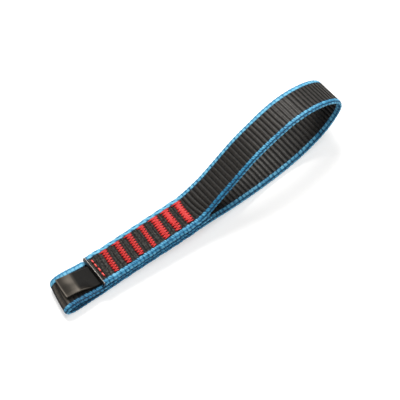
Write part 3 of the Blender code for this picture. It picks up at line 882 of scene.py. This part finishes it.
class Thread:
    """Collects tubes of one thread in one mesh."""

    def __init__(self):
        self.v, self.q, self.t, self.ply, self.weave = [], [], [], [], []
        self.n = 0

    def add(self, path, radius, shade=None, pale=0.88, **kw):
        ring, ply, run = tube_grid(path, radius, **kw)
        ply = (0.72 + 0.28 * ply) * pale
        if shade is not None:
            ply = ply * np.broadcast_to(shade, run.shape)[:, None]
        n, m = ring.shape[:2]
        ends = np.stack([ring[0].mean(0), ring[-1].mean(0)])
        self.v.append(np.concatenate([ring.reshape(-1, 3), ends]))
        self.q.append(tube_faces(n, m, self.n))
        self.t.append(np.concatenate([
            cap_faces(self.n, m, self.n + n * m, True),
            cap_faces(self.n + (n - 1) * m, m, self.n + n * m + 1, False)]))
        self.ply.append(np.concatenate([ply.ravel(), [0.5, 0.5]]))
        a = np.arange(m) / m
        we = np.stack([np.broadcast_to(run[:, None], (n, m)) + self.n * 0.013,
                       np.broadcast_to(a[None], (n, m)) * 3.0,
                       np.zeros((n, m))], -1)
        self.weave.append(np.concatenate([we.reshape(-1, 3),
                                          np.zeros((2, 3))]))
        self.n += n * m + 2

    def build(self, name, mat, cad):
        v = np.concatenate(self.v)
        world = lay(v[:, 0], v[:, 1], v[:, 2])
        ob = mesh_object(name, world, np.concatenate(self.q),
                         np.concatenate(self.t),
                         {'ply': np.concatenate(self.ply),
                          'weave': np.concatenate(self.weave)}, mat)
        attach(ob, 'sling')
        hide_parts(cad)
        return ob


def surface_z(x, y, top):
    """Face of the pressed stack where a stitch lies."""
    z = STACK if top else 0.0
    return pinch(np.asarray(x, float), np.asarray(y, float),
                 np.asarray(z, float))


def leg(a, b, z0, z1, lift, sign, count=20):
    """One stitch from needle hole a to needle hole b: out of the cloth,
    across and in again."""
    u = np.linspace(0.0, 1.0, count)
    out = 1.0 - np.exp(-np.minimum(u, 1 - u) / 0.055)
    z = z0 + (z1 - z0) * u + sign * (lift * out - 0.32 * (1.0 - out))
    return np.stack([a[0] + (b[0] - a[0]) * u, a[1] + (b[1] - a[1]) * u, z],
                    1)


# needle holes' span, middle at the far end and at the near end, both ends
BAR_SEWN = ((2.80, -1.12, -0.90, 5.35, -5.75), (2.85, 5.10, 5.34, 5.35, -5.6),
            (2.90, 11.03, 11.28, 5.3, -5.6), (2.45, 17.30, 17.55, 5.35, -5.8),
            (3.78, 23.54, 23.87, 5.4, -5.75), (3.60, 29.36, 29.70, 5.4, -5.6),
            (3.65, 35.06, 35.44, 5.4, -5.5))


def bar_stitches(k, top, rng):
    """Thread of bar tack k on one side of the stack: a zigzag over a few
    straight runs."""
    th = Thread()
    sign = 1.0 if top else -1.0
    wide, c_far, c_near, y_far, y_near = BAR_SEWN[k]
    mid = lambda y: c_far + (c_near - c_far) * (y_far - y) / (y_far - y_near)
    # straight runs under the zigzag, painted dark as shade under the legs
    for f in (-0.40, -0.20, 0.0, 0.20, 0.40):
        y = np.linspace(y_far - 0.3, y_near + 0.35, 60)
        x = mid(y) + f * wide + 0.03 * np.sin(y * 2.1 + f * 5)
        z = surface_z(x, y, top) - sign * (0.05 + 0.20 * abs(f))
        th.add(np.stack([x, y, z], 1), 0.19, 0.24, sides=6, phase=f)
    step = 0.635
    legs = int(round((y_far - y_near) / step))
    thick = 0.27 if k < 4 else 0.29
    slim = 0.50 + 0.50 * ease(np.minimum(np.arange(20), np.arange(20)[::-1])
                              / 6.5)
    # painted shade: each leg darkens towards its needle holes
    dip = 1.0 - 0.70 * np.exp(-(np.minimum(np.arange(20), np.arange(20)[::-1])
                                / 2.0) ** 2)
    a, b = [(mid(y_far) + e * (wide / 2 + 0.42), y_far + 0.08)
            for e in (1.0, -1.0)]
    za, zb = (float(surface_z(p[0], p[1], top)) for p in (a, b))
    th.add(leg(a, b, za, zb, 0.22, sign), thick * slim, 0.92 * dip, sides=8,
           ply=0.10, pitch=1.1, squash=0.95)
    ends = []
    for i in range(legs + 1):
        y = y_far - (y_far - y_near) * i / legs + 0.03 * rng.standard_normal()
        flare = 0.50 * math.exp(-((y_far - y) / 0.75) ** 2)
        taper = 0.30 * math.exp(-((y - y_near) / 0.8) ** 2)
        half = wide / 2 + flare - taper + 0.08 * rng.standard_normal()
        cx = mid(y) + (0.36 if k == 5 and y > 0 else 0.0) * -1.0
        ends.append((cx + half * (1.0 if i % 2 else -1.0), y))
    for i in range(legs):
        a, b = np.array(ends[i]), np.array(ends[i + 1])
        a[1] -= 0.06
        b[1] += 0.06
        za, zb = (float(surface_z(p[0], p[1], top)) for p in (a, b))
        th.add(leg(a, b, za, zb, 0.26 + 0.03 * rng.standard_normal(), sign),
               thick * slim, dip, sides=8, ply=0.10, pitch=1.1,
               phase=rng.uniform(0, 6.28), squash=0.95)
    if k >= 4:
        # sewn over twice: more, shorter legs fill the far half
        for i in range(1, legs - (6 if k < 6 else 3), 2 if k == 4 else 1):
            a, b = np.array(ends[i]), np.array(ends[i + 1])
            a = a + (0.10 * rng.standard_normal(), -0.32)
            b = b + (0.10 * rng.standard_normal(), -0.32)
            c = mid((a[1] + b[1]) / 2)
            a[0], b[0] = c + 0.70 * (b[0] - c), c + 0.70 * (a[0] - c)
            za, zb = (float(surface_z(p[0], p[1], top)) for p in (a, b))
            th.add(leg(a, b, za, zb, 0.32, sign), 0.22, dip, sides=8, ply=0.10,
                   pitch=1.1, phase=rng.uniform(0, 6.28), squash=0.95)
    if top:
        # the loose tail at the far corner
        a = np.array([mid(y_far) - wide / 2 - 0.35, y_far - 0.25])
        u = np.linspace(0, 1, 14)
        x = a[0] - 0.32 * u + 0.10 * np.sin(3 * u)
        y = a[1] + 0.34 * u
        z = surface_z(x, y, top) + 0.10 + 0.12 * np.sin(3.1 * u)
        th.add(np.stack([x, y, z], 1), 0.17, sides=6)
    return th


def make_bars(mat):
    rng = np.random.default_rng(7)
    for k in range(len(BAR_X)):
        for top, word in ((True, 'needle'), (False, 'bobbin')):
            bar_stitches(k, top, rng).build(
                'bar_tack_%d_%s_stitches' % (k + 1, word), mat,
                'bar_tack_%d_%s_thread' % (k + 1, word))


ROW_SEWN = (5.15, 2.95, 0.45, -2.30, -5.10)


def make_end_row(mat):
    rng = np.random.default_rng(9)
    for top, word in ((True, 'needle'), (False, 'bobbin')):
        th = Thread()
        sign = 1.0 if top else -1.0
        z = STACK + LABEL_LIFT if top else 0.0
        for a, b in zip(ROW_SEWN, ROW_SEWN[1:]):
            u = np.linspace(0.0, 1.0, 30)
            out = ease(np.minimum(u, 1 - u) / 0.40)
            y = a + (b - a) * u
            x = ROW_X + 0.095 * (0.7 - y) + 0.06 * np.sin(u * 3.1 + a)
            zz = z - sign * 0.42 + sign * 0.48 * out
            # painted shade where the thread dives into its holes; pale=1.12
            # lifts the middle into the pink painted highlight
            th.add(np.stack([x, y, zz], 1), 0.24 + 0.12 * ease(out * 1.2),
                   0.24 + 0.76 * ease((out - 0.30) / 0.7), pale=1.12, sides=10,
                   ply=0.10, pitch=1.2, phase=rng.uniform(0, 6.28))
        th.build('end_row_%s_stitches' % word, mat,
                 'end_row_%s_thread' % word)


# --------------------------------------------------------------------- label
def make_label(mat):
    """A satin ribbon folded in half: the fold is the free end of the flap,
    and both cut ends are sewn in under the upper layer."""
    ply = 0.26
    lower = [(LABEL_TAIL_END, 4.27), (-7.0, 4.27), (-9.4, 4.30),
             (LABEL_HINGE, 4.50), (-13.5, 4.88), (-16.0, 5.58),
             (-19.0, 6.22), (-21.5, 6.50), (LABEL_FOLD + 0.32, 6.55)]
    upper = [(LABEL_FOLD + 0.32, 7.07), (-21.5, 7.02), (-19.0, 6.76),
             (-16.0, 6.14), (-13.5, 5.42), (LABEL_HINGE, 4.94),
             (-9.4, 4.66), (-7.0, 4.62), (LABEL_TAIL_END, 4.62)]
    a = spline(lower, (-1.0, 0.0), (-1.0, 0.0), 0.16)
    ang = np.radians(np.linspace(-90, -270, 13)[1:-1])
    c = np.array([LABEL_FOLD + 0.32, 6.81])
    r = 0.26
    fold = np.stack([c[0] + r * np.cos(ang), c[1] + r * np.sin(ang)], 1)
    b = spline(upper, (1.0, 0.0), (1.0, 0.0), 0.16)
    mid = np.concatenate([a, fold, b])
    run = np.concatenate([[0.0], np.cumsum(np.hypot(*np.diff(mid,
                                                             axis=0).T))])
    n = normals(np.concatenate([mid, 0 * mid[:, :1]], 1))
    cols = np.linspace(-1.0, 1.0, 45)
    yy = np.concatenate([cols, cols[::-1]]) * LABEL_WIDE / 2
    oo = np.concatenate([np.full(45, ply / 2), np.full(45, -ply / 2)])
    # rounded, slightly thicker woven edges
    rim = np.exp(-((np.abs(yy) - LABEL_WIDE / 2 + 0.3) / 0.25) ** 2)
    oo = oo * (1.0 + 0.25 * rim)
    oo = oo * np.where(np.abs(yy) > LABEL_WIDE / 2 - 0.01, 0.35, 1.0)
    M, Y = np.meshgrid(np.arange(len(mid)), yy, indexing='ij')
    O = np.broadcast_to(oo, Y.shape)
    X = mid[M, 0] + O * n[M, 0]
    Z = mid[M, 1] + O * n[M, 1]
    t = np.clip((LABEL_HINGE - X) / (LABEL_HINGE - LABEL_FOLD), 0.0, 1.0)
    YY = Y * (1.0 - 0.06 * t) - 0.7 + 2.07 * t
    # the near edge arches up between the fold and the stitches
    near = np.clip((-Y + 1.0) / 6.5, 0.0, 1.0) ** 2.0
    Z = Z + 1.05 * near * ease(t / 0.45) * ease((1.0 - t) / 0.55)
    grid = lay(X - 0.085 * (Y + LABEL_WIDE / 2) * t, YY, Z)
    weave = np.stack([run[M], Y, O * 0.0 + np.sign(O)], -1)
    # the satin catches more light where it lies flat towards the fold
    lustre = ease((-16.4 - X - 0.06 * (5.0 - Y)) / 1.8) * (
        0.42 + 0.58 * ease((X + 23.6 + 0.10 * Y) / 5.2))
    lustre = lustre * (0.85 + 0.15 * value_noise(X, Y, 41, 2.2))
    lustre = lustre * (1.0 - 0.25 * np.exp(-((Y + 0.4) / 1.4) ** 2))
    lustre = lustre + 0.20 * np.exp(-((Y + LABEL_WIDE / 2 - 0.9) / 0.8) ** 2
                                    ) * ease((-13.0 - X) / 5.0)
    # painted highlight along the near edge, faint on the far edge, and along
    # the fold
    edge = np.exp(-((np.abs(Y) - LABEL_WIDE / 2 + 0.14) / 0.18) ** 2)
    edge = edge * np.where(Y < 0, 0.65 * ease((-12.0 - X) / 5.0), 0.12)
    turn = np.exp(-((run[M] - run[-1] / 2 - 0.42) / 0.24) ** 2) * (
        0.75 + 0.25 * ease((2.0 - Y) / 4.0))
    rim = np.clip(0.85 * turn + edge, 0, 1)
    ob = closed_grid('label_folded_ribbon', grid,
                     {'weave': weave, 'lustre': np.clip(lustre, 0, 1),
                      'rim': rim}, mat)
    start = lay(LABEL_HINGE + 1.0, -0.3, 4.7)
    end = lay(LABEL_HINGE - 1.2, -0.3, 4.7)
    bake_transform(ob)
    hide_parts('label_flap', 'label_tail')
    return ob


# ------------------------------------------------------------ melted cut ends
def make_cut_end(name, s0, inward, slant, mat, seed, pale):
    """Skin of melted nylon that seals a cut end of the strip."""
    # rounded-rectangle outline
    hw, hh, r = 7.86, 0.93, 0.5
    # walk round the outline evenly
    pts = [(y, hh) for y in np.linspace(-hw + r, hw - r, 40)]
    pts += [(hw - r + r * math.sin(t), hh - r + r * math.cos(t))
            for t in np.linspace(0, math.pi / 2, 6)[1:]]
    pts += [(hw, -hh + r)]
    pts += [(hw - r + r * math.cos(t), -hh + r - r * math.sin(t))
            for t in np.linspace(0, math.pi / 2, 6)[1:]]
    low = [(-y, -o) for y, o in pts]
    out = np.array(pts + low)
    rings = []
    rims = []
    for ds, grow, fade in ((0.30, -0.20, 0.0), (0.20, -0.04, 0.1),
                           (0.10, 0.02, 0.8), (0.0, 0.03, 1.0),
                           (-0.08, -0.02, 0.5), (-0.13, -0.14, 0.05),
                           (-0.15, -0.35, 0.0), (-0.13, -0.60, 0.0)):
        y = out[:, 0] - np.sign(out[:, 0]) * np.minimum(
            np.maximum(-grow, 0) * 1.0, np.abs(out[:, 0])) + np.sign(
                out[:, 0]) * max(grow, 0) * (np.abs(out[:, 0]) > hw - 0.6)
        o = out[:, 1] * (1.0 + grow / hh)
        wob = 0.06 * value_noise(out[:, 0] + 40, out[:, 1] + ds * 3, seed,
                                 0.9)
        s = s0 + inward * ds
        x, z, tw, nx, nz = line_at(np.clip(s, 0.0, LENGTH))
        over = s - np.clip(s, 0.0, LENGTH)      # past the end: straight on
        xx = x + over * nz + wob + o * nx
        zz = z - over * nx + o * nz
        if slant:
            xx = xx - END_A_SLANT * (0.5 - o / THICK) + skew_end(0.0, y)
        rings.append(lay(xx, y, zz))
        # painted highlight along the top of the lip's ridge, as strong as pale
        rims.append(pale * fade * ease((o / hh - 0.45) / 0.45))
    grid = np.stack(rings)
    rim = np.stack(rims)
    weave = np.stack([grid[..., 0] * 1000, grid[..., 1] * 1000,
                      grid[..., 2] * 1000], -1)
    ob = closed_grid(name, grid, {'rim': rim, 'weave': weave}, mat)
    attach(ob, 'sling')
    return ob


# --------------------------------------------------------- floor, light, view
def make_stage():
    me = bpy.data.meshes.new('studio_floor')
    me.from_pydata([(-4, -4, 0), (4, -4, 0), (4, 4, 0), (-4, 4, 0)], [],
                   [(0, 1, 2, 3)])
    me.materials.append(floor_material())
    floor = bpy.data.objects.new('studio_floor', me)
    bpy.context.scene.collection.objects.link(floor)
    floor.location.z = -0.00005


def area_light(name, direction, distance, size, radiance, colour=(1, 1, 1)):
    data = bpy.data.lights.new(name, 'AREA')
    data.shape = 'RECTANGLE'
    data.size, data.size_y = size
    data.energy = radiance * math.pi * size[0] * size[1]
    data.color = colour
    ob = bpy.data.objects.new(name, data)
    d = Vector(direction).normalized()
    ob.location = d * distance
    ob.rotation_mode = 'QUATERNION'
    ob.rotation_quaternion = (-d).to_track_quat('-Z', 'Y')
    bpy.context.scene.collection.objects.link(ob)
    return ob


def make_light():
    world = bpy.data.worlds.new('studio')
    bpy.context.scene.world = world
    world.use_nodes = True
    bg = world.node_tree.nodes['Background']
    bg.inputs['Color'].default_value = (0.97, 0.985, 1.0, 1.0)
    bg.inputs['Strength'].default_value = 0.21
    area_light('key_back', (0.28, 0.54, 0.79), 1.1, (0.46, 0.50), 25.0,
               (1.0, 0.975, 0.94))
    area_light('fill_top', (0.48, -0.16, 0.86), 1.1, (0.70, 0.60), 4.6,
               (1.0, 0.985, 0.96))
    area_light('fill_front', (-0.30, -0.74, 0.60), 1.1, (0.50, 0.40), 3.0,
               (1.0, 0.995, 0.99))
    view = bpy.context.scene.view_settings
    view.view_transform = 'Standard'
    view.look = 'None'
    view.exposure = 0.0
    view.gamma = 1.0


def make_camera():
    data = bpy.data.cameras.new('photo_view')
    data.lens = 225.0
    data.sensor_width = 36.0
    data.sensor_fit = 'HORIZONTAL'
    data.clip_start, data.clip_end = 0.05, 20.0
    ob = bpy.data.objects.new('photo_view', data)
    right = Vector((0.8453040358, -0.5161998603, -0.1378361029))
    up = Vector((0.5160776530, 0.7220828894, 0.4607170031))
    ahead = Vector((0.1382929612, 0.4605800746, -0.8767787930))
    m = Matrix((right, up, -ahead)).transposed().to_4x4()
    m.translation = Vector((-0.14272834, -0.47998849, 0.91769333))
    ob.matrix_world = m
    bpy.context.scene.collection.objects.link(ob)
    bpy.context.scene.camera = ob


make_camera()
make_light()
make_stage()
ground = webbing_material()
blue = selvedge_material()
red = thread_material()
make_ground(ground)
make_selvedge('selvedge_near_woven', -1.0, blue, 'selvedge_near')
make_selvedge('selvedge_far_woven', 1.0, blue, 'selvedge_far')
make_bars(red)
make_end_row(red)
make_label(label_material())
melt = melt_material()
make_cut_end('cut_end_upper', 0.0, 1.0, True, melt, 31, 1.0)
make_cut_end('cut_end_inner', LENGTH, -1.0, False, melt, 32, 0.35)
